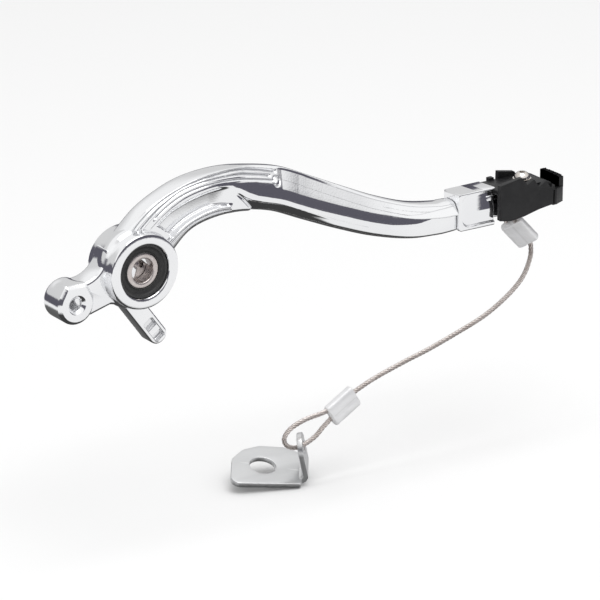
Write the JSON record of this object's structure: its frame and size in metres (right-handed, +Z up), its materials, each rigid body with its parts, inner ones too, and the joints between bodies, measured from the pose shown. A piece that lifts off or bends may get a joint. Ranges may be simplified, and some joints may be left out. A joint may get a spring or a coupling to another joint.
{
  "type": "rear brake pedal",
  "caption": "Forged aluminium rear brake pedal for an off-road motorcycle, with a needle-bearing pivot, a toothed step plate and a wire-rope safety cable with its frame tab.",
  "frame": {"origin": "on the pivot axis, at the middle of the pivot boss's length", "axes": "+X forward to the step plate, +Z up, -Y outboard, away from the motorcycle"},
  "size_m": [0.2524, 0.0351, 0.1485],
  "materials": {
    "polished_aluminium": "bright polished forging",
    "bearing_steel": "hardened bearing steel",
    "ground_steel": "ground steel sleeve",
    "seal_rubber": "black nitrile rubber",
    "black_plate": "satin black coated steel",
    "zinc_steel": "zinc-plated steel",
    "wire_rope": "stranded steel wire",
    "ferrule_aluminium": "pressed soft aluminium",
    "tab_steel": "zinc-plated sheet steel"
  },
  "bodies": {
    "pedal": {"pedal_arm": "polished_aluminium", "bearing_cup": "bearing_steel", "outer_seal": "seal_rubber", "inner_seal": "seal_rubber", "step_plate": "black_plate", "tip_screw": "zinc_steel", "tip_washer": "zinc_steel", "safety_cable": "wire_rope", "upper_ferrule": "ferrule_aluminium", "lower_ferrule": "ferrule_aluminium", "frame_tab": "tab_steel"},
    "sleeve": {"pivot_sleeve": "ground_steel"},
    "rollers": {"needle_cage": "bearing_steel", "needle_rollers": "bearing_steel"}
  },
  "joints": [
    {"name": "sleeve_turn", "type": "hinge", "parent": "pedal", "child": "sleeve", "pos_m": [0, 0, 0], "axis": [0, 1, 0], "continuous": true},
    {"name": "roller_turn", "type": "hinge", "parent": "pedal", "child": "rollers", "pos_m": [0, 0, 0], "axis": [0, 1, 0], "continuous": true}
  ],
  "couplings": [
    {"joint": "roller_turn", "follows": "sleeve_turn", "ratio": 0.4286}
  ]
}
